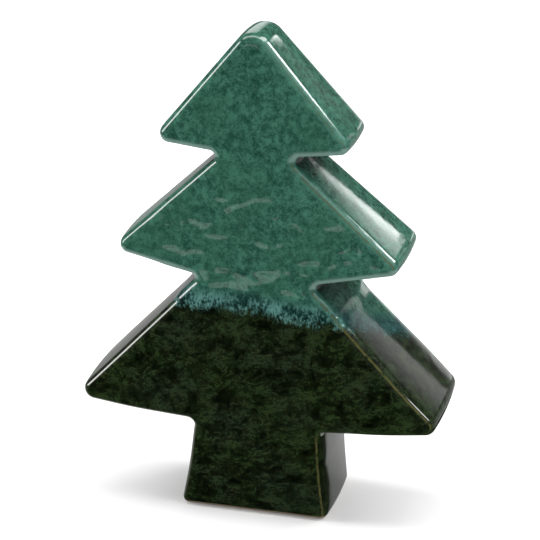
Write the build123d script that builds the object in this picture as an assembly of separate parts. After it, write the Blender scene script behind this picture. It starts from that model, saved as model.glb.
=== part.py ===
from build123d import *
import os

# Ceramic christmas tree: a hollow stoneware tree of three tiers on a flared trunk, dipped in two glazes.
# Millimetres, +Z up. The origin is on the tree's axis, on the surface that the tree stands on.
# The front faces -Y, the back is its mirror image, and the boughs are about the same left and right.

# Outline seen from the front, from the foot up. Widths and heights are those of the corners before
# they are rounded. Each underside climbs from the trunk or waist out to the tips of its boughs, and
# each slope climbs from the tips in to the next waist, or to the apex.
foot_width = 78.7
trunk_waist_width = 71.3
trunk_waist_height = 23.5
trunk_top_width = 66.2
trunk_height = 50.2
low_bough_width = 195.5
low_underside_rise = 6.7
low_underside_sag = 1.1
low_slope_rise = 70.9
low_waist_width = 58.4
mid_bough_width = 152.4
mid_underside_rise = 10.1
mid_slope_rise = 52.2
mid_waist_width = 36.4
top_bough_width = 104.7
top_underside_rise = 4.0
top_slope_rise = 61.2

# The tree was put together by hand, so each part stands a little to the right or left of the axis
top_shift = -0.4
mid_shift = 1.4
trunk_top_shift = 0.2
foot_shift = -3.6

# Rounded corners of the outline
apex_round = 10.9
tip_round = 5.2
low_tip_round = 6.2
waist_round = 2.0
trunk_top_round = 2.9
trunk_flare_round = 200.0
sag_round = 300.0

# Depth from front to back at the foot, at the bend in the broad faces and at the apex, with the
# rounding of the bend, of the edges of the broad faces and of the foot's lower edge
foot_depth = 47.3
bend_depth = 58.2
apex_depth = 27.4
bend_height = 73.4
bend_round = 160.0
face_edge_round = 5.0
foot_edge_round = 4.0

# Clay walls, and the slip that joins the clay pieces
clay_wall = 4.6
cavity_edge_round = 2.5
slip_joint = 0.8
slip_bead = 2.4
base_thickness = 6.0
base_recess = 1.5
vent_diameter = 10.0

# Glaze coats: the upper one laps over the lower one above a wavy hem
glaze_thickness = 0.8
bare_foot_height = 1.2
glaze_lap = 9.8
hem_height = 112.8
hem_slant = 12.9
hem_wave = 1.2
hem_wave_shares = (0.5, -0.4, 0.6, 0.3, -0.8, -0.7, 0.8, -0.3, 0.3, -0.5, 0.6, -0.2, 0.4)

# How far a cutting shape reaches past what it cuts
overrun = 20.0


def right_corners():
    """Corners of the outline's right half from the apex down: half width, height, rounding and shift."""
    low_tips = trunk_height + low_underside_rise
    low_waist = low_tips + low_slope_rise
    mid_tips = low_waist + mid_underside_rise
    mid_waist = mid_tips + mid_slope_rise
    top_tips = mid_waist + top_underside_rise
    apex = top_tips + top_slope_rise
    sag_width = (low_bough_width + trunk_top_width) / 2
    sag = (low_tips + trunk_height) / 2 - low_underside_sag
    flare = (foot_width - trunk_waist_width) / 2 / trunk_waist_height
    lean = (trunk_top_shift - foot_shift) / trunk_height
    return [
        (0, apex, apex_round, top_shift),
        (top_bough_width / 2, top_tips, tip_round, top_shift),
        (mid_waist_width / 2, mid_waist, waist_round, (top_shift + mid_shift) / 2),
        (mid_bough_width / 2, mid_tips, tip_round, mid_shift),
        (low_waist_width / 2, low_waist, waist_round, mid_shift / 2),
        (low_bough_width / 2, low_tips, low_tip_round, 0),
        (sag_width / 2, sag, sag_round, 0),
        (trunk_top_width / 2, trunk_height, trunk_top_round, trunk_top_shift),
        (trunk_waist_width / 2, trunk_waist_height, trunk_flare_round, foot_shift + lean * trunk_waist_height),
        (foot_width / 2 + flare * overrun, -overrun, 0, foot_shift - lean * overrun),
    ]


def outline_corners():
    """Corners of the outline once round from the apex, each with its rounding radius."""
    half = right_corners()
    right = [((shift + x, z), radius) for x, z, radius, shift in half]
    left = [((shift - x, z), radius) for x, z, radius, shift in reversed(half[1:])]
    return right + left


def apex_height():
    """Height of the apex before it is rounded."""
    return right_corners()[0][1]


def profile_corners():
    """Corners of the side profile once round from the top of its back, each with its rounding radius."""
    upper_lean = (bend_depth - apex_depth) / 2 / (apex_height() - bend_height)
    lower_lean = (bend_depth - foot_depth) / 2 / bend_height
    back = [
        ((apex_depth / 2 - upper_lean * overrun, apex_height() + overrun), 0),
        ((bend_depth / 2, bend_height), bend_round),
        ((foot_depth / 2 - lower_lean * overrun, -overrun), 0),
    ]
    front = [((-y, z), radius) for (y, z), radius in reversed(back)]
    return back + front


def inset_face(corners, inset):
    """The face inside the rounded corners, with every side moved in by inset."""
    points = [Vector(*point) for point, radius in corners]
    moved = []
    radii = []
    for index, (point, radius) in enumerate(corners):
        before = (points[index] - points[index - 1]).normalized()
        after = (points[(index + 1) % len(points)] - points[index]).normalized()
        inward_before = Vector(before.Y, -before.X)
        inward_after = Vector(after.Y, -after.X)
        bisector = (inward_before + inward_after) / (1 + inward_before.dot(inward_after))
        moved.append(points[index] + bisector * inset)
        hollow_corner = before.cross(after).Z > 0
        if radius == 0:
            radii.append(0)
        elif hollow_corner:
            radii.append(radius + inset)
        else:
            radii.append(max(radius - inset, cavity_edge_round))
    return make_face(FilletPolyline(*moved, radius=radii, close=True))


def tree_body(inset):
    """The tree's full form moved in by inset all over, with rounded edges, running on below the ground."""
    outline = Plane.XZ * inset_face(outline_corners(), inset)
    profile = Plane.YZ * inset_face(profile_corners(), inset)
    body = extrude(outline, bend_depth, both=True) & extrude(profile, low_bough_width, both=True)
    broad_faces = body.faces().filter_by(lambda face: abs(face.normal_at().Y) > abs(face.normal_at().X))
    broad_faces = broad_faces.filter_by(lambda face: abs(face.normal_at().Y) > abs(face.normal_at().Z))
    edges = broad_faces.edges()
    rims = [edge for edge in edges if sum(edge.is_same(other) for other in edges) == 1]
    rims = [edge for edge in rims if edge.center().Z > -overrun / 2]
    return fillet(rims, max(face_edge_round - inset, cavity_edge_round))


def between_heights(low, high):
    """A block wider and deeper than the tree, from one height to another."""
    middle = (low + high) / 2
    return Pos(0, 0, middle) * Box(2 * low_bough_width, 2 * bend_depth, high - low)


def between_depths(front, back):
    """A block wider and higher than the tree, from one depth to another."""
    middle = (front + back) / 2
    return Pos(0, middle, 0) * Box(2 * low_bough_width, back - front, 4 * apex_height())


def standing(body, edge_round):
    """The body cut off at the ground, with the edge of its foot rounded."""
    cut = body & between_heights(0, 2 * apex_height())
    foot = cut.faces().sort_by(Axis.Z)[0]
    return fillet(foot.edges(), edge_round)


def above_hem(lift):
    """Everything above the upper glaze's wavy hem, raised by lift."""
    reach = low_bough_width / 2 + overrun
    top = apex_height() + overrun
    hem = []
    for index, wave_share in enumerate(hem_wave_shares):
        across_share = index / (len(hem_wave_shares) - 1) - 0.5
        height = hem_height + lift - hem_slant * across_share + hem_wave * wave_share
        hem.append((2 * reach * across_share, height))
    border = Spline(*hem) + Polyline(hem[-1], (reach, top), (-reach, top), hem[0])
    return extrude(Plane.XZ * make_face(border), bend_depth, both=True)


# The same form at each depth below the glazed surface
glazed = standing(tree_body(0), foot_edge_round)
lap_face = standing(tree_body(glaze_thickness / 2), foot_edge_round)
clay = standing(tree_body(glaze_thickness), foot_edge_round - glaze_thickness)
cavity = tree_body(glaze_thickness + clay_wall)
slip_face = tree_body(glaze_thickness + clay_wall + slip_joint)

# Two pressed half shells, front and back, open at the foot
walls = clay - cavity
front_shell = walls & between_depths(-bend_depth, -slip_joint / 2)
back_shell = walls & between_depths(slip_joint / 2, bend_depth)

# The slip that lutes their rims together, with the bead that squeezes out inside
base_top = base_recess + base_thickness
rim_slip = walls & between_depths(-slip_joint / 2, slip_joint / 2)
bead = (cavity - slip_face) & between_depths(-slip_bead / 2, slip_bead / 2)
seam_slip = rim_slip + (bead & between_heights(base_top, apex_height()))

# The slab that closes the trunk from below, with its vent, and the slip round its edge
base_layer = between_heights(base_recess, base_top)
vent = Pos(foot_shift, 0, 0) * Cylinder(vent_diameter / 2, 4 * base_top)
base_slab = (slip_face & base_layer) - vent
base_slip = (cavity - slip_face) & base_layer

# Two coats of glaze down to the bare clay of the foot. In the lap the lower coat lies under the upper.
coat = (glazed - clay) & between_heights(bare_foot_height, apex_height())
over_lap = (glazed - lap_face) & above_hem(0)
lower_glaze = coat - above_hem(glaze_lap) - over_lap
upper_glaze = coat - lower_glaze

os.makedirs("parts", exist_ok=True)
export_step(front_shell, "parts/front_shell.step")
export_step(back_shell, "parts/back_shell.step")
export_step(seam_slip, "parts/seam_slip.step")
export_step(base_slab, "parts/base_slab.step")
export_step(base_slip, "parts/base_slip.step")
export_step(lower_glaze, "parts/lower_glaze.step")
export_step(upper_glaze, "parts/upper_glaze.step")
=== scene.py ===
import math

import bpy
import numpy as np
from mathutils import Matrix, Vector
from mathutils.geometry import delaunay_2d_cdt


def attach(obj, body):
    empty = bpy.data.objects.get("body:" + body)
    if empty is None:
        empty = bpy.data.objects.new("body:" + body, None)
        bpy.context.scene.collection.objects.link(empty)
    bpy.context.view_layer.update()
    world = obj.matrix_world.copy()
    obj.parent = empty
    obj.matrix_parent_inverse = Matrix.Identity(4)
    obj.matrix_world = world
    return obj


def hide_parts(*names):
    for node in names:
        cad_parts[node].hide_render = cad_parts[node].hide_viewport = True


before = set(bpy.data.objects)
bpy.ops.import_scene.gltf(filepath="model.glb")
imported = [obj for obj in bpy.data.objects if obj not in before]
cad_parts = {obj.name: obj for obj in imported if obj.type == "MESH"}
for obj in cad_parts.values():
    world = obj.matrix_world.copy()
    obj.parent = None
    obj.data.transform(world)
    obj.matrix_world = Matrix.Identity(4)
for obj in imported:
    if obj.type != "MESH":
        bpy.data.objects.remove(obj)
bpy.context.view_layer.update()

# Clay half shells. The body is pale stoneware, pressed into two half moulds and luted together on edge.
# Only the sponged rim of the foot stays bare: it is buff with toasted clouds, and flecked with iron.

mm = 0.001
buff_clay = (0.33, 0.24, 0.16, 1)
toasted_clay = (0.17, 0.10, 0.055, 1)
iron_fleck = (0.035, 0.02, 0.012, 1)
clay_cloud_size = 9 * mm
clay_cloud_range = (0.35, 0.65)
clay_grain_size = 0.45 * mm
clay_grain_range = (0.3, 0.7)
clay_grain_depth = 0.06 * mm
clay_roughness = (0.72, 0.92)
iron_fleck_size = 2.2 * mm
iron_fleck_range = (0.22, 0.12)


def add_node(tree, kind, inputs=None, **properties):
    """A new node with its properties set, and each input either linked to a socket or given a value."""
    node = tree.nodes.new(kind)
    for name, value in properties.items():
        setattr(node, name, value)
    for name, value in (inputs or {}).items():
        if isinstance(value, bpy.types.NodeSocket):
            tree.links.new(value, node.inputs[name])
        else:
            node.inputs[name].default_value = value
    return node


def math_node(tree, operation, first, second=0.0):
    """The outcome of one sum on values or sockets."""
    return add_node(tree, "ShaderNodeMath", {0: first, 1: second}, operation=operation).outputs[0]


def mixed(tree, share, first, second):
    """Two colours mixed by a share or a mask."""
    return add_node(tree, "ShaderNodeMix", {0: share, 6: first, 7: second}, data_type="RGBA").outputs[2]


def stretched(tree, value, low, high, to_low=0.0, to_high=1.0):
    """The value's range from low to high, eased into another range and held at its ends."""
    inputs = {"Value": value, "From Min": low, "From Max": high, "To Min": to_low, "To Max": to_high}
    return add_node(tree, "ShaderNodeMapRange", inputs, interpolation_type="SMOOTHSTEP").outputs["Result"]


def noise(tree, place, scale, detail=2.0, roughness=0.5, distortion=0.0):
    """Noise from 0 to 1, with about that many lumps to the metre."""
    inputs = {"Vector": place, "Scale": scale, "Detail": detail}
    inputs.update({"Roughness": roughness, "Distortion": distortion})
    return add_node(tree, "ShaderNodeTexNoise", inputs).outputs["Fac"]


def swing(tree, pattern, reach):
    """Noise from 0 to 1 turned into a swing to both sides, the reach in all."""
    return math_node(tree, "MULTIPLY", math_node(tree, "SUBTRACT", pattern, 0.5), reach)


def new_material(name):
    """A named material with an empty node tree, and its object coordinates."""
    material = bpy.data.materials.new(name)
    material.use_nodes = True
    tree = material.node_tree
    tree.nodes.clear()
    return material, tree, tree.nodes.new("ShaderNodeTexCoord").outputs["Object"]


def show(tree, shader):
    """The shader is what the material's surface shows."""
    add_node(tree, "ShaderNodeOutputMaterial", {"Surface": shader.outputs[0]})


def new_group(name, values, masks):
    """A shader node group that takes a place and named values and puts out named masks, and its two ends."""
    group = bpy.data.node_groups.new(name, "ShaderNodeTree")
    group.interface.new_socket("Place", in_out="INPUT", socket_type="NodeSocketVector")
    for value in values:
        group.interface.new_socket(value, in_out="INPUT", socket_type="NodeSocketFloat")
    for mask in masks:
        group.interface.new_socket(mask, in_out="OUTPUT", socket_type="NodeSocketFloat")
    given = group.nodes.new("NodeGroupInput").outputs
    return group, given, group.nodes.new("NodeGroupOutput").inputs


def place_group(tree, group, inputs):
    """The group as a node of a material, with its own values."""
    return add_node(tree, "ShaderNodeGroup", inputs, node_tree=group).outputs


def clay_grain_group():
    """Clouds, sandy grain and iron flecks of bare fired clay."""
    scales = ("Cloud Scale", "Grain Scale", "Fleck Scale")
    group, given, out = new_group("clay_grain", scales, ("Clouds", "Grain", "Flecks"))
    clouds = noise(group, given["Place"], given["Cloud Scale"])
    grain = noise(group, given["Place"], given["Grain Scale"])
    cells = {"Vector": given["Place"], "Scale": given["Fleck Scale"]}
    flecks = add_node(group, "ShaderNodeTexVoronoi", cells).outputs["Distance"]
    group.links.new(stretched(group, clouds, *clay_cloud_range), out["Clouds"])
    group.links.new(grain, out["Grain"])
    group.links.new(stretched(group, flecks, *iron_fleck_range), out["Flecks"])
    return group


clay_grain = clay_grain_group()


def clay_material(name, pale, dark, fleck_size):
    """Bare fired clay between a pale and a toasted colour, rough and finely sandy."""
    material, tree, place = new_material(name)
    scales = {"Cloud Scale": 1 / clay_cloud_size, "Grain Scale": 1 / clay_grain_size}
    scales["Fleck Scale"] = 1 / fleck_size
    grain = place_group(tree, clay_grain, {"Place": place, **scales})
    colour = mixed(tree, grain["Clouds"], pale, dark)
    colour = mixed(tree, grain["Flecks"], colour, iron_fleck)
    roughness = stretched(tree, grain["Grain"], *clay_grain_range, *clay_roughness)
    bump = add_node(tree, "ShaderNodeBump", {"Height": grain["Grain"], "Distance": clay_grain_depth})
    looks = {"Base Color": colour, "Roughness": roughness, "Normal": bump.outputs["Normal"]}
    show(tree, add_node(tree, "ShaderNodeBsdfPrincipled", looks))
    return material


def finish_node(node, material):
    """A piece kept from the frame takes the material in its only slot."""
    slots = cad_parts[node].data.materials
    slots.clear()
    slots.append(material)


bare_clay = clay_material("bare_stoneware", buff_clay, toasted_clay, iron_fleck_size)
finish_node("front_shell", bare_clay)
finish_node("back_shell", bare_clay)

# Slip. Liquid clay that was brushed on the scored rims before the two halves were pressed together, and
# on the edge of the closing slab. It fires a shade paler than the body and has almost no iron in it.

pale_slip = (0.42, 0.33, 0.23, 1)
dry_slip = (0.30, 0.21, 0.14, 1)
slip_fleck_size = 7 * mm

fired_slip = clay_material("fired_slip", pale_slip, dry_slip, slip_fleck_size)
finish_node("seam_slip", fired_slip)
finish_node("base_slip", fired_slip)

# Closing slab. A rolled slab of the same stoneware, let into the trunk from below with a vent hole so that
# the air inside can leave in the kiln. Its face is drier and more toasted than the rim.

slab_clay = (0.27, 0.18, 0.11, 1)
slab_shade = (0.12, 0.07, 0.04, 1)

finish_node("base_slab", clay_material("toasted_slab", slab_clay, slab_shade, iron_fleck_size))

# Glazed surface. The outside that both coats of glaze share: flat broad faces that lean together towards
# the apex, soft edges, walls with a slight crown, and the shallow hollows that fingers left in the clay.

foot_width = 78.7 * mm
trunk_waist_width = 71.3 * mm
trunk_waist_height = 23.5 * mm
trunk_top_width = 66.2 * mm
trunk_height = 50.2 * mm
low_bough_width = 195.5 * mm
low_underside_rise = 6.7 * mm
low_underside_sag = 1.1 * mm
low_slope_rise = 70.9 * mm
low_waist_width = 58.4 * mm
mid_bough_width = 152.4 * mm
mid_underside_rise = 10.1 * mm
mid_slope_rise = 52.2 * mm
mid_waist_width = 36.4 * mm
top_bough_width = 104.7 * mm
top_underside_rise = 4.0 * mm
top_slope_rise = 61.2 * mm
top_shift = -0.4 * mm
mid_shift = 1.4 * mm
trunk_top_shift = 0.2 * mm
foot_shift = -3.6 * mm
apex_round = 10.9 * mm
tip_round = 5.2 * mm
low_tip_round = 6.2 * mm
waist_round = 2.0 * mm
trunk_top_round = 2.9 * mm
trunk_flare_round = 200.0 * mm
sag_round = 300.0 * mm
foot_depth = 47.3 * mm
bend_depth = 58.2 * mm
apex_depth = 27.4 * mm
bend_height = 73.4 * mm
bend_round = 160.0 * mm
face_edge_round = 5.0 * mm
foot_edge_round = 4.0 * mm
bare_foot_height = 1.2 * mm
glaze_thickness = 0.8 * mm

# The walls swell between their edges: how far they lie in at each edge, and the angle of their lean there
wall_edge_inset = 0.5 * mm
wall_crown = math.radians(4.5)
least_tip_round = 0.1 * mm

# Spacing of the mesh on the faces and walls and round the corners, and its steps across edge and wall. Points
# within a face keep clear of its border, and points in one place are joined.
mesh_step = 1.25 * mm
corner_step = math.radians(9)
least_runs = 5
edge_steps = 9
wall_steps = 30
border_clearance = 0.7 * mesh_step
joining_reach = 0.05 * mm
fill_inside = 1
least_length = 1e-9

# The foot's cut line isn't a rounded edge, so its points count as this far from one
foot_off_edge = 20 * mm

low_tips_height = trunk_height + low_underside_rise
low_waist_height = low_tips_height + low_slope_rise
mid_tips_height = low_waist_height + mid_underside_rise
mid_waist_height = mid_tips_height + mid_slope_rise
top_tips_height = mid_waist_height + top_underside_rise
apex_height = top_tips_height + top_slope_rise


def tree_corners():
    """Corners of the outline from the right foot over the apex to the left foot, each with its rounding."""
    flare = (foot_width - trunk_waist_width) / 2 / trunk_waist_height
    lean = (trunk_top_shift - foot_shift) / trunk_height
    waist_shift = foot_shift + lean * trunk_waist_height
    sag_width = (low_bough_width + trunk_top_width) / 2
    sag_height = (low_tips_height + trunk_height) / 2 - low_underside_sag
    right = [
        (foot_width / 2 - flare * height, height, 0, foot_shift + lean * height)
        for height in (bare_foot_height, foot_edge_round)
    ] + [
        (trunk_waist_width / 2, trunk_waist_height, trunk_flare_round, waist_shift),
        (trunk_top_width / 2, trunk_height, trunk_top_round, trunk_top_shift),
        (sag_width / 2, sag_height, sag_round, 0),
        (low_bough_width / 2, low_tips_height, low_tip_round, 0),
        (low_waist_width / 2, low_waist_height, waist_round, mid_shift / 2),
        (mid_bough_width / 2, mid_tips_height, tip_round, mid_shift),
        (mid_waist_width / 2, mid_waist_height, waist_round, (top_shift + mid_shift) / 2),
        (top_bough_width / 2, top_tips_height, tip_round, top_shift),
    ]
    corners = [((shift + x, z), radius) for x, z, radius, shift in right]
    corners.append(((top_shift, apex_height), apex_round))
    corners.extend(((shift - x, z), radius) for x, z, radius, shift in reversed(right))
    return corners


def rounded_path(corners, step, turn_step):
    """Points along straight runs and rounded corners: their places, the directions to the right of travel,
    the room for an inset in the rounding, and how a point draws back for each length past that room."""
    points = [Vector(corner) for corner, radius in corners]
    rows = []
    leave = points[0]
    corner_room = math.inf
    corner_retreat = Vector((0, 0))

    for index in range(1, len(points)):
        before = (points[index] - points[index - 1]).normalized()
        last = index == len(points) - 1
        after = before if last else (points[index + 1] - points[index]).normalized()
        turn = math.atan2(before.cross(after), before.dot(after))
        radius = corners[index][1]
        reach = radius * math.tan(abs(turn) / 2)
        arrive = points[index] - before * reach
        right = Vector((before.y, -before.x))
        runs = max(least_runs, math.ceil((arrive - leave).length / step))
        rows.append((leave, right, corner_room, corner_retreat))
        for run in range(1, runs):
            rows.append((leave.lerp(arrive, run / runs), right, math.inf, Vector((0, 0))))
        side = math.copysign(1, turn)
        centre = arrive - right * radius * side
        bulges = side > 0 and radius > 0
        corner_room = radius - least_tip_round if bulges else math.inf
        corner_retreat = (centre - points[index]) / radius if bulges else Vector((0, 0))
        turns = max(1, math.ceil(abs(turn) / turn_step), math.ceil(abs(turn) * radius / step))
        for share in ([0] if last else [count / turns for count in range(turns)]):
            direction = Matrix.Rotation(turn * share, 2) @ right
            rows.append((centre + direction * radius * side, direction, corner_room, corner_retreat))
        leave = points[index] + after * reach
    return [np.array(column) for column in zip(*rows)]


outline, outward, inset_room, inset_retreat = rounded_path(tree_corners(), mesh_step, corner_step)
profile_corners = [((foot_depth / 2, 0), 0), ((bend_depth / 2, bend_height), bend_round)]
profile_corners.append(((apex_depth / 2, apex_height), 0))
profile = rounded_path(profile_corners, mesh_step, corner_step)[0]


def half_depth(height):
    """Half the distance between the broad faces at each height."""
    return np.interp(height, profile[:, 1], profile[:, 0])


def glazed_rings():
    """Rings of points from the front face over the edge, across the wall and over the edge behind."""
    points = []
    from_edge = []
    edge_turns = np.linspace(0, math.pi / 2 - wall_crown, edge_steps + 1)
    edge_drop = face_edge_round * (1 - math.sin(wall_crown))
    edge_end = face_edge_round * (math.pi / 4 - wall_crown)
    wall_half = half_depth(outline[:, 1]) - edge_drop
    crown = wall_half * math.tan(wall_crown) / 2
    near_foot = np.clip((trunk_waist_height - outline[:, 1]) / (trunk_waist_height - bare_foot_height), 0, 1)

    def ring(inset, place_of, way):
        within = np.minimum(inset, inset_room)
        flat = outline - outward * within[:, None] + inset_retreat * (inset - within)[:, None]
        flat[:, 1] += near_foot * (outline[:, 1] - flat[:, 1])
        depth = half_depth(flat[:, 1])
        points.append(np.column_stack((flat[:, 0], place_of(depth), flat[:, 1])))
        from_edge.append(np.broadcast_to(way, len(flat)))

    def edge_ring(turn, side):
        inset = face_edge_round * (math.sin(math.pi / 2 - wall_crown) - math.sin(turn))
        drop = face_edge_round * (1 - math.cos(turn))
        even_inset = np.full(len(outline), inset) + wall_edge_inset
        ring(even_inset, lambda depth: side * (depth - drop), face_edge_round * (turn - math.pi / 4))

    for turn in edge_turns:
        edge_ring(turn, -1)
    for share in np.linspace(-1, 1, wall_steps + 1)[1:-1]:
        inset = wall_edge_inset - crown * (1 - share * share)
        way = edge_end + wall_half * (1 - abs(share))
        ring(inset, lambda depth: share * (depth - edge_drop), way)
    for turn in reversed(edge_turns):
        edge_ring(turn, 1)
    return np.array(points), np.array(from_edge)


def inside(points, border):
    """Which points lie inside a closed border, by counting the crossings to their right."""
    within = np.zeros(len(points), bool)
    for (x1, y1), (x2, y2) in zip(border, np.roll(border, -1, axis=0)):
        if y1 != y2:
            spans = (points[:, 1] < y1) != (points[:, 1] < y2)
            within ^= spans & (points[:, 0] < x1 + (points[:, 1] - y1) * (x2 - x1) / (y2 - y1))
    return within


def face_fill(border):
    """Triangles that fill a broad face evenly inside its border, and the points that they add."""
    low = border.min(axis=0)
    high = border.max(axis=0)
    row_step = mesh_step * math.sqrt(3) / 2
    rows = np.arange(low[1], high[1], row_step)
    grid = []
    for count, height in enumerate(rows):
        across = np.arange(low[0] + (count % 2) * mesh_step / 2, high[0], mesh_step)
        grid.append(np.column_stack((across, np.full(len(across), height))))
    grid = np.concatenate(grid)
    grid = grid[inside(grid, border)]
    nearest = np.array([np.argmin(np.hypot(*(border - point).T)) for point in grid])
    clear = np.hypot(*(border[nearest] - grid).T)
    apart = clear > border_clearance
    grid, clear, nearest = grid[apart], clear[apart], nearest[apart]
    points = np.concatenate((border, grid))
    edges = [(index, (index + 1) % len(border)) for index in range(len(border))]
    places = [Vector(point) for point in points]
    filled = delaunay_2d_cdt(places, edges, [], fill_inside, least_length)
    source = [origins[0] for origins in filled[3]]
    triangles = np.array([[source[index] for index in face] for face in filled[2]])
    return grid, clear, nearest, triangles


def glazed_mesh():
    """The smooth glazed surface, open at the foot, with each point's way from the nearest edge, and the
    directions across and up in which that edge faces."""
    rings, ring_way = glazed_rings()
    ring_count, length = rings.shape[:2]
    foot_runs = math.ceil(abs(rings[0][0, 0] - rings[0][-1, 0]) / mesh_step)
    foot_shares = np.arange(1, foot_runs) / foot_runs
    foot_line = np.outer(1 - foot_shares, rings[0][-1, [0, 2]]) + np.outer(foot_shares, rings[0][0, [0, 2]])
    border = np.concatenate((rings[0][:, [0, 2]], foot_line))
    grid, clear, nearest, fill = face_fill(border)
    added = np.concatenate((foot_line, grid))
    to_border = np.concatenate((np.full(len(foot_line), foot_off_edge), clear))
    added_way = -to_border - face_edge_round * math.pi / 4
    depth = half_depth(added[:, 1])
    front = np.column_stack((added[:, 0], -depth, added[:, 1]))
    points = np.concatenate((rings.reshape(-1, 3), front, front * (1, -1, 1)))
    way = np.concatenate((ring_way.reshape(-1), added_way, added_way))
    downward = np.tile((0.0, -1.0), (len(foot_line), 1))
    border_side = np.concatenate((outward, downward))
    added_side = np.concatenate((downward, border_side[nearest]))
    side = np.concatenate((np.tile(outward, (ring_count, 1)), added_side, added_side))

    ring_start = np.arange(ring_count - 1)[:, None] * length
    here = (ring_start + np.arange(length - 1)).reshape(-1)
    quads = np.column_stack((here, here + length, here + length + 1, here + 1))
    walls = np.concatenate((quads[:, [0, 1, 2]], quads[:, [0, 2, 3]]))
    back_ring = (ring_count - 1) * length
    front_fill = np.where(fill < length, fill, fill + back_ring)
    back_fill = fill + back_ring + np.where(fill < length, 0, len(added))
    triangles = np.concatenate((walls, front_fill, back_fill[:, ::-1]))
    return points, triangles, way, side


def merged(points, triangles, closeness):
    """The points with those in one place joined, the triangles that keep three corners, and the kept."""
    cells = np.round(points / closeness).astype(np.int64)
    kept, joined = np.unique(cells, axis=0, return_index=True, return_inverse=True)[1:]
    triangles = joined.reshape(-1)[triangles]
    a, b, c = triangles.T
    return points[kept], triangles[(a != b) & (b != c) & (c != a)], kept


# The hem where the upper coat ends: it falls slowly to the right and wavers
hem_height = 112.8 * mm
hem_slant = 12.9 * mm
hem_wave = 1.2 * mm
hem_overrun = 20 * mm
hem_reach = low_bough_width / 2 + hem_overrun
hem_wave_shares = np.array((0.5, -0.4, 0.6, 0.3, -0.8, -0.7, 0.8, -0.3, 0.3, -0.5, 0.6, -0.2, 0.4))
lap_height = 9.8 * mm

# The tree was held aslant in the upper glaze, so its colour runs lower at the back on the right
dip_run = 26 * mm
dip_run_width = 70 * mm

# The melt gathered in the hollow corners of the two waists, and stands dark there on the walls; the dark is
# also painted shade, for these corners lie in shadow
shade_pool_reach = 8 * mm
shade_pool_edge = 1.5 * mm
waists = (
    (low_waist_width, low_waist_height, mid_shift / 2),
    (mid_waist_width, mid_waist_height, (top_shift + mid_shift) / 2),
)


def hem_line(across):
    """Height of the hem at each place across, through the wave's shares without a kink."""
    way = (across / hem_reach + 1) / 2 * (len(hem_wave_shares) - 1)
    start = np.clip(np.floor(way).astype(int), 1, len(hem_wave_shares) - 3)
    share = way - start
    first, second, third, fourth = (hem_wave_shares[start + step] for step in (-1, 0, 1, 2))
    bend = 2 * first - 5 * second + 4 * third - fourth + share * (3 * (second - third) + fourth - first)
    wave = second + 0.5 * share * (third - first + share * bend)
    return hem_height - hem_slant * across / hem_reach / 2 + hem_wave * wave


def pool_and_shade_shares(points, way):
    """How deep the glaze stands on the walls in the hollow corners of the waists, and how much shade is
    painted there, from 0 to 1.
    """
    on_wall = np.clip((way - shade_pool_edge) / shade_pool_edge, 0, 1)
    deepest = np.zeros(len(points))
    for width, height, shift in waists:
        for corner in (shift - width / 2, shift + width / 2):
            apart = np.hypot(points[:, 0] - corner, points[:, 2] - height)
            deepest = np.maximum(deepest, np.exp(-(apart / shade_pool_reach) ** 2))
    return deepest * on_wall


def point_rows(mesh, kind):
    """A mesh's points or their normals as rows."""
    source, name = (mesh.vertices, "co") if kind == "points" else (mesh.vertex_normals, "vector")
    rows = np.empty(len(mesh.vertices) * 3, np.float32)
    source.foreach_get(name, rows)
    return rows.reshape(-1, 3).astype(float)


def tucked_foot(points, normals):
    """The points with those near the ground drawn in to round the foot's lower edge."""
    level = normals * (1, 1, 0)
    level /= np.linalg.norm(level, axis=1)[:, None] + least_length
    below = np.clip(foot_edge_round - points[:, 2], 0, foot_edge_round)
    tuck = foot_edge_round - np.sqrt(foot_edge_round ** 2 - below ** 2)
    return points - level * tuck[:, None]


points, triangles, way, side = glazed_mesh()
points, triangles, kept = merged(points, triangles, joining_reach)
way = way[kept]
edge_right, edge_up = side[kept].T
above_hem = points[:, 2] - hem_line(points[:, 0])
# Painted shade, with the glaze that gathered there, in the hollow corners of the waists
pooled_and_shaded = pool_and_shade_shares(points, way)
depth_share = np.clip(points[:, 1] / bend_depth + 0.5, 0, 1)
right_share = np.clip((points[:, 0] + dip_run_width / 2) / dip_run_width, 0, 1)
above_dip = above_hem + dip_run * depth_share * right_share

smooth_mesh = bpy.data.meshes.new("glazed_surface")
smooth_mesh.from_pydata(points, [], triangles.tolist())
points = tucked_foot(points, point_rows(smooth_mesh, "normals"))
smooth_mesh.vertices.foreach_set("co", points.astype(np.float32).reshape(-1))
smooth_mesh.update()
for name, values in (("from_edge", way), ("above_hem", above_hem)):
    smooth_mesh.attributes.new(name, "FLOAT", "POINT").data.foreach_set("value", values.astype(np.float32))
clay_points = points - point_rows(smooth_mesh, "normals") * glaze_thickness

# Finger hollows: lumps on the broad faces, strongest across the middle tier, slow waves on the walls, a fine
# ripple of the melt, and the swelling where the two coats lap. No hollow is as deep as the coat is thick.
tooling = {
    "Hollow Size": 10.5 * mm,
    "Hollow Depth": 3.5 * mm,
    "Deepest": -0.55 * mm,
    "Wall Depth": 0.06 * mm,
    "Ripple Size": 5 * mm,
    "Ripple Depth": 0.02 * mm,
    "Lap Height": lap_height,
    "Lap Swell": 0.75 * mm,
    "Middle Height": 146 * mm,
    "Middle Reach": 22 * mm,
    "Calm Share": 0.06,
}
tooling_seed = 7.0
hollow_detail = 0.6
hollow_spread = 1.7
hollow_curl = 0.9
ripple_detail = 1.0
face_blend = 8 * mm
calm_range = (0.6, 1.4)

# The swelling climbs at the hem and falls off again at a height that wavers, both as shares of the lap
lap_climb = (-0.1, 0.35)
lap_fall = (1.85, 1.15)
lap_waver = 1.2
lap_waver_detail = 0.0
lap_waver_spread = 1.9


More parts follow.
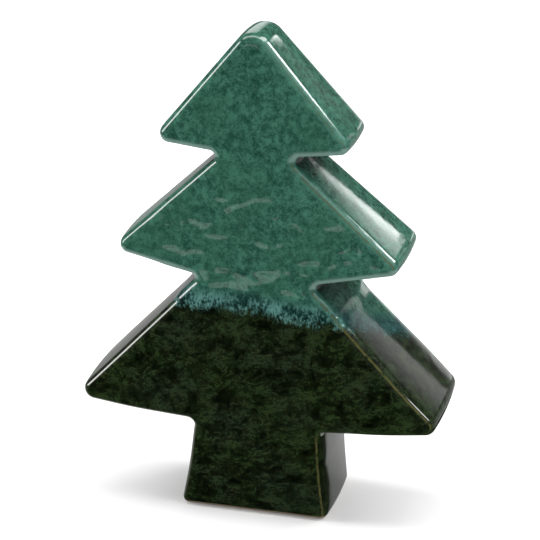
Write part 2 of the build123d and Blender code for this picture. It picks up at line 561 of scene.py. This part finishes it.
def finger_hollows():
    """The geometry tree that moves the surface along its normals by the hollows, ripples and lap."""
    tree = bpy.data.node_groups.new("finger_hollows", "GeometryNodeTree")
    tree.interface.new_socket("Surface", in_out="INPUT", socket_type="NodeSocketGeometry")
    for name in tooling:
        tree.interface.new_socket(name, in_out="INPUT", socket_type="NodeSocketFloat")
    tree.interface.new_socket("Finish", in_out="INPUT", socket_type="NodeSocketMaterial")
    tree.interface.new_socket("Surface", in_out="OUTPUT", socket_type="NodeSocketGeometry")
    given = tree.nodes.new("NodeGroupInput").outputs
    out = tree.nodes.new("NodeGroupOutput")
    place = tree.nodes.new("GeometryNodeInputPosition").outputs[0]
    normal = tree.nodes.new("GeometryNodeInputNormal").outputs[0]
    edge_way = add_node(tree, "GeometryNodeInputNamedAttribute", {"Name": "from_edge"}).outputs[0]
    hem_way = add_node(tree, "GeometryNodeInputNamedAttribute", {"Name": "above_hem"}).outputs[0]
    height = add_node(tree, "ShaderNodeSeparateXYZ", {0: place}).outputs["Z"]

    def lumps(size, detail, spread=1.0, curl=0.0):
        scale = math_node(tree, "DIVIDE", 1.0, size)
        factors = {0: place, 1: (1 / spread, 1, 1)}
        where = add_node(tree, "ShaderNodeVectorMath", factors, operation="MULTIPLY").outputs[0]
        inputs = {"Vector": where, "W": tooling_seed, "Scale": scale, "Detail": detail, "Distortion": curl}
        return add_node(tree, "ShaderNodeTexNoise", inputs, noise_dimensions="4D").outputs["Fac"]

    on_face = stretched(tree, edge_way, 0.0, -face_blend)
    from_middle = math_node(tree, "ABSOLUTE", math_node(tree, "SUBTRACT", height, given["Middle Height"]))
    far = math_node(tree, "DIVIDE", from_middle, given["Middle Reach"])
    strength = stretched(tree, far, *calm_range, 1.0, given["Calm Share"])
    face_depth = math_node(tree, "MULTIPLY", given["Hollow Depth"], strength)
    depth = add_node(tree, "ShaderNodeMix", {0: on_face, 2: given["Wall Depth"], 3: face_depth}).outputs[0]
    hollows = swing(tree, lumps(given["Hollow Size"], hollow_detail, hollow_spread, hollow_curl), depth)
    ripples = swing(tree, lumps(given["Ripple Size"], ripple_detail), given["Ripple Depth"])
    lap_share = math_node(tree, "DIVIDE", hem_way, given["Lap Height"])
    waver = swing(tree, lumps(given["Hollow Size"], lap_waver_detail, lap_waver_spread), lap_waver)
    climb = stretched(tree, lap_share, *lap_climb)
    fall = stretched(tree, math_node(tree, "ADD", lap_share, waver), *lap_fall)
    lap = math_node(tree, "MULTIPLY", math_node(tree, "MULTIPLY", climb, fall), given["Lap Swell"])
    moved = math_node(tree, "ADD", math_node(tree, "ADD", hollows, ripples), lap)
    moved = math_node(tree, "MAXIMUM", moved, given["Deepest"])
    offset = add_node(tree, "ShaderNodeVectorMath", {0: normal, 3: moved}, operation="SCALE").outputs[0]
    shaped = add_node(tree, "GeometryNodeSetPosition", {"Geometry": given["Surface"], "Offset": offset})
    whole = add_node(tree, "GeometryNodeRealizeInstances", {"Geometry": shaped.outputs[0]})
    coated = add_node(tree, "GeometryNodeSetMaterial", {0: whole.outputs[0], "Material": given["Finish"]})
    tree.links.new(coated.outputs[0], out.inputs["Surface"])
    return tree


def tooled_mesh(finish):
    """The glazed surface with its finger hollows as a plain mesh."""
    surface = bpy.data.objects.new("glazed_surface", smooth_mesh)
    bpy.context.scene.collection.objects.link(surface)
    modifier = surface.modifiers.new("finger_hollows", "NODES")
    tree = finger_hollows()
    modifier.node_group = tree
    for item in tree.interface.items_tree:
        if item.in_out == "INPUT" and item.name in tooling:
            modifier[item.identifier] = tooling[item.name]
        elif item.name == "Finish":
            modifier[item.identifier] = finish
    evaluated = surface.evaluated_get(bpy.context.evaluated_depsgraph_get())
    mesh = bpy.data.meshes.new_from_object(evaluated)
    bpy.data.objects.remove(surface)
    return mesh


# Glaze colours. Both coats carry both colours, because they run into each other at the hem: teal, mottled by
# crystals as it cooled, and a forest green that is almost black where it lies thick.

teal_deep = (0.009, 0.045, 0.032, 1)
teal_pale = (0.054, 0.176, 0.123, 1)
teal_green = (0.028, 0.102, 0.064, 1)
# Paler teal on the right-hand crests: thinner glaze there, and a painted highlight on the side the light
# comes from
thin_glaze_highlight_teal = (0.09, 0.26, 0.205, 1)
# Pale grey along the lower edges: a milky roll of glaze, and a painted reflection of the white floor
bead_grey = (0.21, 0.32, 0.285, 1)
band_deep = (0.003, 0.021, 0.019, 1)
turquoise = (0.1, 0.245, 0.22, 1)
wall_teal = (0.006, 0.043, 0.043, 1)
# Near-black in the hollow corners of the waists: glaze that gathered there, and painted shade where the
# corners lie in shadow
pool_and_shade_dark = (0.0015, 0.006, 0.0045, 1)
foot_brown = (0.36, 0.29, 0.21, 1)
break_olive = (0.085, 0.09, 0.038, 1)
forest_deep = (0.0009, 0.0022, 0.0003, 1)
forest_pale = (0.0205, 0.042, 0.0135, 1)
forest_slate = (0.021, 0.036, 0.021, 1)
forest_rust = (0.03, 0.033, 0.009, 1)
forest_break = (0.12, 0.115, 0.04, 1)

# How strongly each effect tints the teal and the forest glaze, painted highlights and reflections among them,
# and how strongly the pools with their painted shade and the sponging tint both
teal_shares = {"clouds": 0.35, "blotches": 0.22, "wall": 0.75, "band": 0.95}
teal_shares.update({"crest_and_highlight": 0.35, "bead": 0.70, "right line": 0.80})
forest_shares = {"clouds": 0.70, "mottle": 0.45, "blotches": 0.85}
forest_shares.update({"bead": 0.25, "line": 0.16, "right line": 0.60})
pool_and_shade_share = 0.95
wiped_share = 0.75

# Patterns in the melt: the size of their lumps, the detail, roughness and distortion of the noise that makes
# them, and the part of its range that shows. Streaks and blotches lie aslant and are drawn out sideways.
glaze_patterns = {
    "Clouds": (26 * mm, (2.0, 0.5, 0.3), (0.36, 0.64)),
    "Mottle": (4.5 * mm, (4.0, 0.92, 0.15), (0.33, 0.67)),
    "Streaks": (9 * mm, (5.0, 0.95, 0.2), (0.35, 0.66)),
    "Blotches": (8 * mm, (4.0, 0.75, 0.5), (0.49, 0.63)),
}
slanting_patterns = ("Streaks", "Blotches")
streak_turn = (0, math.radians(14), 0)
streak_stretch = (0.7, 1, 1)


def glaze_flow_group():
    """The patterns of the melt as masks, from its place on the tree."""
    scales = [pattern + " Scale" for pattern in glaze_patterns]
    group, given, out = new_group("glaze_flow", scales, glaze_patterns)
    place = given["Place"]
    turned = add_node(group, "ShaderNodeMapping", {"Vector": place, "Rotation": streak_turn}).outputs[0]
    along = add_node(group, "ShaderNodeMapping", {"Vector": turned, "Scale": streak_stretch}).outputs[0]
    for pattern, (size, grain, shown) in glaze_patterns.items():
        where = along if pattern in slanting_patterns else place
        lumps = noise(group, where, given[pattern + " Scale"], *grain)
        group.links.new(stretched(group, lumps, *shown), out[pattern])
    return group


# The hem sways in runs and frays into grit that is drawn out downwards. The heights say how far above the
# hem the upper coat covers the lower one, and where the bright speckled band of the lap ends.
run_size = 6 * mm
run_sway = 7 * mm
grit_size = 1.2 * mm
grit_grain = (3.0, 0.8)
grit_stretch = (1, 1, 0.5)
grit_reach = 13 * mm
cover_heights = (-1.8 * mm, 3.4 * mm)
band_heights = (13.5 * mm, 5.0 * mm)
run_in_speckle = 0.8
speckle_range = (0.76, 1.08)


def hem_feather_group():
    """How far the upper coat covers the lower one, the band of the lap, and the speckle in that band."""
    group, given, out = new_group("hem_feather", ("Above Hem",), ("Cover", "Band", "Speckle"))
    drawn = add_node(group, "ShaderNodeMapping", {"Vector": given["Place"], "Scale": grit_stretch}).outputs[0]
    runs = noise(group, given["Place"], 1 / run_size)
    grit = noise(group, drawn, 1 / grit_size, *grit_grain)
    drifted = math_node(group, "ADD", given["Above Hem"], swing(group, runs, run_sway))
    ragged = math_node(group, "ADD", drifted, swing(group, grit, grit_reach))
    speckle = math_node(group, "ADD", grit, math_node(group, "MULTIPLY", runs, run_in_speckle))
    group.links.new(stretched(group, ragged, *cover_heights), out["Cover"])
    group.links.new(stretched(group, drifted, *band_heights), out["Band"])
    group.links.new(stretched(group, speckle, *speckle_range), out["Speckle"])
    return group


# Along an edge the glaze runs thin. A wavering line lies just inside the crest and breaks off in places, and
# the crest itself is paler.
# That pale band also carries a painted highlight on the right-hand crests and a painted floor reflection
# along the lower edges.
waver_size = 12 * mm
waver_reach = 1.0 * mm
line_inset = 0.5 * mm
line_widths = (0.9 * mm, 0.1 * mm)
gap_size = 2.5 * mm
gap_grain = (3.0, 0.6)
gap_range = (0.30, 0.56)
glow_widths = (3.2 * mm, 0.8 * mm)


def edge_break_group():
    """Where the glaze has run thin along an edge: the line just inside the edge's ridge, and the pale band
    over the ridge, which also carries painted highlights and reflections.
    """
    group, given, out = new_group("edge_break", ("From Edge",), ("Line", "Glow"))
    waver = swing(group, noise(group, given["Place"], 1 / waver_size), waver_reach)
    way = math_node(group, "ADD", given["From Edge"], waver)
    off_line = math_node(group, "ABSOLUTE", math_node(group, "ADD", way, line_inset))
    off_crest = math_node(group, "ABSOLUTE", way)
    unbroken = stretched(group, noise(group, given["Place"], 1 / gap_size, *gap_grain), *gap_range)
    line = math_node(group, "MULTIPLY", stretched(group, off_line, *line_widths), unbroken)
    group.links.new(line, out["Line"])
    group.links.new(stretched(group, off_crest, *glow_widths), out["Glow"])
    return group


glaze_flow = glaze_flow_group()
hem_feather = hem_feather_group()
edge_break = edge_break_group()

# Where the wall begins past an edge, and which edges count as facing right and as facing down
wall_start = (0.5 * mm, 3 * mm)
right_facing = (0.2, 0.6)
down_facing = (0.05, -0.3)

# The thin line along the right-hand edges fades on the way up
thin_edge_heights = (290 * mm, 130 * mm)
thin_edge_shares = (0.1, 1.0)

# Just above the bare clay of the foot, the sponge left the glaze thin and brown
wiped_heights = (2.9 * mm, 1.9 * mm)

# The melt is glassy, a little duller where it is pale, and its skin isn't quite even
glaze_ior = 1.5
pale_dulling = 0.04
skin_depth = 0.012 * mm


def glaze_material(name, gloss, coat_ripple):
    """A glossy coat in both glaze colours, each where its height above the hem puts it."""
    material, tree, place = new_material(name)

    def attribute(kind):
        return add_node(tree, "ShaderNodeAttribute", attribute_name=kind).outputs["Fac"]

    def both(first, second):
        return math_node(tree, "MULTIPLY", first, second)

    def toned(colour, mask, share, other):
        return mixed(tree, both(mask, share), colour, other)

    scales = {pattern + " Scale": 1 / row[0] for pattern, row in glaze_patterns.items()}
    flow = place_group(tree, glaze_flow, {"Place": place, **scales})
    feather = place_group(tree, hem_feather, {"Place": place, "Above Hem": attribute("above_dip")})
    edge = place_group(tree, edge_break, {"Place": place, "From Edge": attribute("from_edge")})
    height = add_node(tree, "ShaderNodeSeparateXYZ", {0: place}).outputs["Z"]
    on_wall = stretched(tree, attribute("from_edge"), *wall_start)
    right = stretched(tree, attribute("edge_right"), *right_facing)
    below = stretched(tree, attribute("edge_up"), *down_facing)
    low_down = stretched(tree, height, *thin_edge_heights, *thin_edge_shares)
    wiped = stretched(tree, height, *wiped_heights)
    upper_right = both(right, math_node(tree, "SUBTRACT", 1.0, below))
    right_line = both(both(edge["Line"], upper_right), low_down)
    # The lower edges: a paler roll of glaze and a painted reflection of the white floor
    bead = both(edge["Glow"], below)
    # Painted highlight on the right-hand crests, together with the paler thin glaze there
    crest_and_highlight = both(edge["Glow"], math_node(tree, "SUBTRACT", right, below))

    teal = mixed(tree, flow["Mottle"], teal_deep, teal_pale)
    teal = toned(teal, flow["Clouds"], teal_shares["clouds"], teal_green)
    teal = toned(teal, flow["Blotches"], teal_shares["blotches"], teal_deep)
    speckle = mixed(tree, feather["Speckle"], band_deep, turquoise)
    speckle = toned(speckle, on_wall, teal_shares["wall"], wall_teal)
    teal = toned(teal, feather["Band"], teal_shares["band"], speckle)
    # The teal is paler on the right-hand crests: painted highlight and thinner glaze
    teal = toned(teal, crest_and_highlight, teal_shares["crest_and_highlight"], thin_glaze_highlight_teal)
    # Painted floor reflection and a paler roll of glaze along the teal's lower edges
    teal = toned(teal, bead, teal_shares["bead"], bead_grey)
    teal = toned(teal, right_line, teal_shares["right line"], break_olive)
    forest = toned(forest_pale, flow["Clouds"], forest_shares["clouds"], forest_slate)
    forest = toned(forest, flow["Mottle"], forest_shares["mottle"], forest_rust)
    forest = mixed(tree, flow["Streaks"], forest_deep, forest)
    forest = toned(forest, flow["Blotches"], forest_shares["blotches"], forest_deep)
    # Painted floor reflection and a paler roll of glaze along the forest glaze's lower edges
    forest = toned(forest, bead, forest_shares["bead"], forest_pale)
    forest = toned(forest, edge["Line"], forest_shares["line"], forest_break)
    forest = toned(forest, right_line, forest_shares["right line"], forest_break)
    colour = mixed(tree, feather["Cover"], forest, teal)
    # Painted shade in the hollow corners of the waists, over the darker glaze that gathered there
    colour = toned(colour, attribute("pooled_and_shaded"), pool_and_shade_share, pool_and_shade_dark)
    colour = toned(colour, wiped, wiped_share, foot_brown)
    roughness = stretched(tree, flow["Mottle"], 0.0, 1.0, gloss, gloss + pale_dulling)
    skin = noise(tree, place, 1 / coat_ripple)
    bump = add_node(tree, "ShaderNodeBump", {"Height": skin, "Distance": skin_depth})
    looks = {"Base Color": colour, "Roughness": roughness, "Normal": bump.outputs["Normal"]}
    show(tree, add_node(tree, "ShaderNodeBsdfPrincipled", {**looks, "IOR": glaze_ior}))
    return material


# What each point of a coat carries: the columns where its place, its normal and its place on the clay end,
# then the values that the materials read, and last its height above the hem
column_ends = (3, 6, 9)
read_values = ("from_edge", "edge_right", "edge_up", "pooled_and_shaded", "above_dip")
hem_snap = 0.04 * mm


def cut_at_hem(values, triangles, side):
    """The part of the surface on one side of the hem, with new points exactly on it."""
    height = values[:, -1] * side
    height[np.abs(height) < hem_snap] = 0
    used = {}
    new_rows = []
    cut_faces = []

    def point(key, row):
        if key not in used:
            used[key] = len(new_rows)
            new_rows.append(row)
        return used[key]

    for corners in triangles.tolist():
        levels = [height[corner] for corner in corners]
        if max(levels) <= 0:
            continue
        face = []
        for index in range(3):
            here, there = corners[index], corners[(index + 1) % 3]
            from_level, to_level = levels[index], levels[(index + 1) % 3]
            if from_level >= 0:
                face.append(point(here, values[here]))
            if from_level * to_level < 0:
                low, high = sorted((here, there))
                share = height[low] / (height[low] - height[high])
                row = values[low] * (1 - share) + values[high] * share
                face.append(point((low, high), row))
        cut_faces.extend((face[0], face[step], face[step + 1]) for step in range(1, len(face) - 1))
    return np.array(new_rows), cut_faces


def coat_piece(name, values, triangles, side, finish):
    """One coat of glaze as a closed skin: its outside, its inside against the clay, and its rims."""
    rows, faces = cut_at_hem(values, triangles, side)
    count = len(rows)
    outer, normals, inner, carried = np.split(rows, column_ends, axis=1)
    edges = {(face[index], face[(index + 1) % 3]) for face in faces for index in range(3)}
    rims = [(first, second) for first, second in edges if (second, first) not in edges]
    inner_faces = [(c + count, b + count, a + count) for a, b, c in faces]
    rim_faces = []
    for first, second in sorted(rims):
        rim_faces.append((second, first, first + count))
        rim_faces.append((second, first + count, second + count))
    mesh = bpy.data.meshes.new(name)
    mesh.from_pydata(np.concatenate((outer, inner)), [], faces + inner_faces + rim_faces)
    for attribute, column in zip(read_values, carried.T):
        both_sides = np.concatenate((column, column)).astype(np.float32)
        mesh.attributes.new(attribute, "FLOAT", "POINT").data.foreach_set("value", both_sides)
    mesh.materials.append(finish)
    mesh.shade_smooth()
    mesh.normals_split_custom_set_from_vertices(np.concatenate((normals, -normals)))
    piece = bpy.data.objects.new(name, mesh)
    bpy.context.scene.collection.objects.link(piece)
    return piece


# Lower coat. The dark forest glaze that the trunk and the low boughs were dipped in first. It is wiped off
# just above the foot, so that the tree doesn't stick to the kiln shelf, and runs on under the upper coat.

forest_gloss = 0.05
forest_ripple = 4 * mm

forest_glaze = glaze_material("forest_glaze", forest_gloss, forest_ripple)
surface_mesh = tooled_mesh(forest_glaze)
surface_points = point_rows(surface_mesh, "points")
surface_normals = point_rows(surface_mesh, "normals")
carried_values = np.column_stack((way, edge_right, edge_up, pooled_and_shaded, above_dip, above_hem))
surface_values = np.column_stack((surface_points, surface_normals, clay_points, carried_values))

lower_coat = coat_piece("lower_coat", surface_values, triangles, -1, forest_glaze)
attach(lower_coat, "root")
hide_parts("lower_glaze")

# Upper coat. The teal glaze that the top was dipped in afterwards, upside down. It laps over the lower coat,
# where the two melted into a bright speckled band, and its hem runs into the dark glaze in feathers.

teal_gloss = 0.05
teal_ripple = 5 * mm

teal_glaze = glaze_material("teal_glaze", teal_gloss, teal_ripple)
upper_coat = coat_piece("upper_coat", surface_values, triangles, 1, teal_glaze)
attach(upper_coat, "root")
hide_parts("upper_glaze")

# Floor. A plain white surface that keeps the tree's soft shadow, and is clear from below so that the foot
# shows. The glaze mirrors a studio in its place, dark in front and beside the tree and grey further off.

floor_half = 3.0
floor_drop = 0.1 * mm
floor_white = (0.80, 0.80, 0.80, 1)
floor_lift = 0.165
dark_room = (0.01, 0.01, 0.01, 1)
grey_room = (0.38, 0.38, 0.38, 1)
room_edge = -18 * mm
room_blend = 3 * mm
side_edge = 42 * mm
side_slant = 0.3616
near_reach = 160 * mm
far_reach = 240 * mm
least_room_share = 0.7

floor_mesh = bpy.data.meshes.new("floor")
floor_square = ((-1, -1), (1, -1), (1, 1), (-1, 1))
floor_corners = [(x * floor_half, y * floor_half, -floor_drop) for x, y in floor_square]
floor_mesh.from_pydata(floor_corners, [], [(0, 1, 2, 3)])
floor = bpy.data.objects.new("floor", floor_mesh)
bpy.context.scene.collection.objects.link(floor)

floor_material, floor_tree, floor_place = new_material("white_floor")
floor_x, floor_y = add_node(floor_tree, "ShaderNodeSeparateXYZ", {0: floor_place}).outputs[:2]
floor_way = add_node(floor_tree, "ShaderNodeVectorMath", {0: floor_place}, operation="LENGTH")
ray = floor_tree.nodes.new("ShaderNodeLightPath").outputs
in_front = stretched(floor_tree, floor_y, room_edge + room_blend / 2, room_edge - room_blend / 2)
past_side = math_node(floor_tree, "SUBTRACT", floor_x, math_node(floor_tree, "MULTIPLY", floor_y, side_slant))
beside = stretched(floor_tree, past_side, side_edge - room_blend / 2, side_edge + room_blend / 2)
far_off = stretched(floor_tree, floor_way.outputs["Value"], near_reach, far_reach)
close_by = math_node(floor_tree, "SUBTRACT", 1.0, far_off)
dark = math_node(floor_tree, "MAXIMUM", in_front, math_node(floor_tree, "MULTIPLY", beside, close_by))
room_share = math_node(floor_tree, "MAXIMUM", far_off, least_room_share)
room_share = math_node(floor_tree, "MAXIMUM", dark, room_share)
shows_room = math_node(floor_tree, "MULTIPLY", room_share, ray["Is Glossy Ray"])
seen = math_node(floor_tree, "MAXIMUM", ray["Is Camera Ray"], ray["Is Transmission Ray"])
seen = math_node(floor_tree, "MAXIMUM", seen, ray["Is Glossy Ray"])
lift = math_node(floor_tree, "MULTIPLY", seen, floor_lift)
plain = add_node(floor_tree, "ShaderNodeBsdfDiffuse", {"Color": floor_white})
glow = add_node(floor_tree, "ShaderNodeEmission", {"Strength": lift})
white = add_node(floor_tree, "ShaderNodeAddShader", {0: plain.outputs[0], 1: glow.outputs[0]})
room = add_node(floor_tree, "ShaderNodeEmission", {"Color": mixed(floor_tree, dark, grey_room, dark_room)})
above = {0: shows_room, 1: white.outputs[0], 2: room.outputs[0]}
either = add_node(floor_tree, "ShaderNodeMixShader", above)
from_below = floor_tree.nodes.new("ShaderNodeNewGeometry").outputs["Backfacing"]
clear = floor_tree.nodes.new("ShaderNodeBsdfTransparent")
sides = {0: from_below, 1: either.outputs[0], 2: clear.outputs[0]}
show(floor_tree, add_node(floor_tree, "ShaderNodeMixShader", sides))
floor_mesh.materials.append(floor_material)

# Light. A soft studio drawn on the sky, without lamps: an even fill, a softbox overhead, strips to the left
# and right that the edges mirror, patches behind for the walls, and a low board in front that shows in the
# finger hollows. Seen directly, the sky is plain white.

fill_level = 0.47
mirrored_level = 0.12
background_level = 1.0

world = bpy.data.worlds.new("studio")
bpy.context.scene.world = world
world.use_nodes = True
world_tree = world.node_tree
world_tree.nodes.clear()
sky_way = world_tree.nodes.new("ShaderNodeTexCoord").outputs["Generated"]
sky_axes = add_node(world_tree, "ShaderNodeSeparateXYZ", {0: sky_way}).outputs
sky_rise = math_node(world_tree, "DEGREES", math_node(world_tree, "ARCSINE", sky_axes["Z"]))
sky_front = math_node(world_tree, "MULTIPLY", sky_axes["Y"], -1.0)
sky_turn = math_node(world_tree, "DEGREES", math_node(world_tree, "ARCTAN2", sky_axes["X"], sky_front))

# Some softboxes hang aslant: those behind on the right climb as they turn to the front, the strip on the
# right sinks a little as it turns to the back, and the sides of the board lean apart
rear_slant = 0.8
rear_turn = 160
strip_slant = 0.28
strip_turn = 105
board_slant = 1.4
board_turn = -17
board_side = (-10, -9, 90, 99)


def sky_leaning(slant, turn):
    """Rise measured from a line that leans by the slant and passes level at the turn."""
    past = math_node(world_tree, "SUBTRACT", sky_turn, turn)
    return math_node(world_tree, "ADD", sky_rise, math_node(world_tree, "MULTIPLY", past, slant))


sky_rear = sky_leaning(rear_slant, rear_turn)
sky_strip = sky_leaning(strip_slant, strip_turn)
sky_board_left = sky_leaning(board_slant, board_turn)
sky_board_right = sky_leaning(-board_slant, board_turn)


def sky_softbox(radiance, *limits):
    """A soft patch of the sky. Each row gives a direction's value, and where along it the patch begins, is
    full, starts to fade and ends."""
    glow = radiance
    for value, (begin, full, fade, stop) in limits:
        glow = math_node(world_tree, "MULTIPLY", glow, stretched(world_tree, value, begin, full))
        glow = math_node(world_tree, "MULTIPLY", glow, stretched(world_tree, value, stop, fade))
    return glow


# The apex mirrors a broad patch high on the right, which lights the tree and the floor less than it shows
patch_radiance = 14.0
patch_turns = (72, 82, 146, 158)
patch_rises = (48.5, 51, 72, 80)
patch_light = 0.22
world_ray = world_tree.nodes.new("ShaderNodeLightPath").outputs
patch_share = add_node(world_tree, "ShaderNodeMix", {0: world_ray["Is Glossy Ray"], 2: patch_light, 3: 1.0})
apex_patch = sky_softbox(patch_radiance, (sky_turn, patch_turns), (sky_strip, patch_rises))
lit = math_node(world_tree, "MULTIPLY", apex_patch, patch_share.outputs[0])

# The other softboxes, each with its radiance and its limits along two or three directions
softboxes = {
    "overhead": (
        7.0,
        (sky_axes["X"], (-0.8, -0.7, 0.3, 0.4)),
        (sky_axes["Y"], (-0.22, -0.12, 0.14, 0.24)),
        (sky_axes["Z"], (0.3, 0.5, 2.0, 3.0)),
    ),
    "left strip": (15.0, (sky_turn, (-92, -87, -75, -70)), (sky_rise, (2, 6, 26, 32))),
    "right strip": (28.0, (sky_turn, (100, 103, 129, 133)), (sky_strip, (36.9, 37.5, 44.3, 45.0))),
    "right glow": (2.0, (sky_turn, (45, 70, 100, 103)), (sky_rise, (37.3, 39.3, 60, 70))),
    "low tip strip": (18.0, (sky_turn, (68, 71, 83, 86)), (sky_rise, (27.5, 28.7, 31.6, 32.4))),
    "rear patch": (5.5, (sky_turn, (146, 160, 160.3, 161)), (sky_rear, (12.9, 13.5, 13.8, 18))),
    "rear edge": (4.0, (sky_turn, (156, 160, 160.3, 161)), (sky_rear, (12.9, 13.5, 16.8, 18))),
    "rear haze": (0.3, (sky_turn, (150, 154, 160, 164)), (sky_rear, (8.5, 10.5, 11.5, 13))),
    "low wall patch": (1.3, (sky_turn, (143, 153.5, 153.8, 154.6)), (sky_rear, (-6, 0, 7.0, 7.8))),
    "horizon": (2.5, (sky_turn, (156, 159, 200, 210)), (sky_rise, (-30, -20, 2.5, 6.5))),
    "front board": (
        1.5,
        (sky_rise, (-2.6, -2.2, 9, 14)),
        (sky_board_left, board_side),
        (sky_board_right, board_side),
    ),
    "behind left": (2.2, (sky_turn, (-176, -166, -156, -146)), (sky_rise, (4, 10, 26, 32))),
}
for radiance, *limits in softboxes.values():
    lit = math_node(world_tree, "ADD", lit, sky_softbox(radiance, *limits))
levels = {0: world_ray["Is Glossy Ray"], 2: fill_level, 3: mirrored_level}
level = math_node(world_tree, "ADD", add_node(world_tree, "ShaderNodeMix", levels).outputs[0], lit)
levels = {0: world_ray["Is Camera Ray"], 2: level, 3: background_level}
level = add_node(world_tree, "ShaderNodeMix", levels).outputs[0]
sky = add_node(world_tree, "ShaderNodeBackground", {"Strength": level})
add_node(world_tree, "ShaderNodeOutputWorld", {"Surface": sky.outputs[0]})

# Camera. It stands a metre off, a little to the right and above, with a long lens, as it did when the
# photograph was taken.

image_side = 540
sensor_width = 36.0
focal_pixels = 2036.24
camera_azimuth = math.radians(16.775)
camera_elevation = math.radians(23.323)
camera_roll = math.radians(-1.456)
camera_distance = 1004.9 * mm
camera_aim = Vector((0, 0, 122.10 * mm))
camera_right_shift = 1.703 * mm
camera_up_shift = 2.316 * mm

back = Vector((
    math.sin(camera_azimuth) * math.cos(camera_elevation),
    -math.cos(camera_azimuth) * math.cos(camera_elevation),
    math.sin(camera_elevation),
))
level_right = Vector((math.cos(camera_azimuth), math.sin(camera_azimuth), 0))
level_up = back.cross(level_right)
rolled_right = level_right * math.cos(camera_roll) + level_up * math.sin(camera_roll)
rolled_up = level_up * math.cos(camera_roll) - level_right * math.sin(camera_roll)
lens = bpy.data.cameras.new("camera")
lens.sensor_width = sensor_width
lens.lens = focal_pixels * sensor_width / image_side
camera = bpy.data.objects.new("camera", lens)
stand = camera_aim + back * camera_distance + level_right * camera_right_shift + level_up * camera_up_shift
turned = Matrix((rolled_right, rolled_up, back)).transposed().to_4x4()
camera.matrix_world = Matrix.Translation(stand) @ turned
bpy.context.scene.collection.objects.link(camera)
bpy.context.scene.camera = camera
bpy.context.scene.view_settings.view_transform = "Standard"
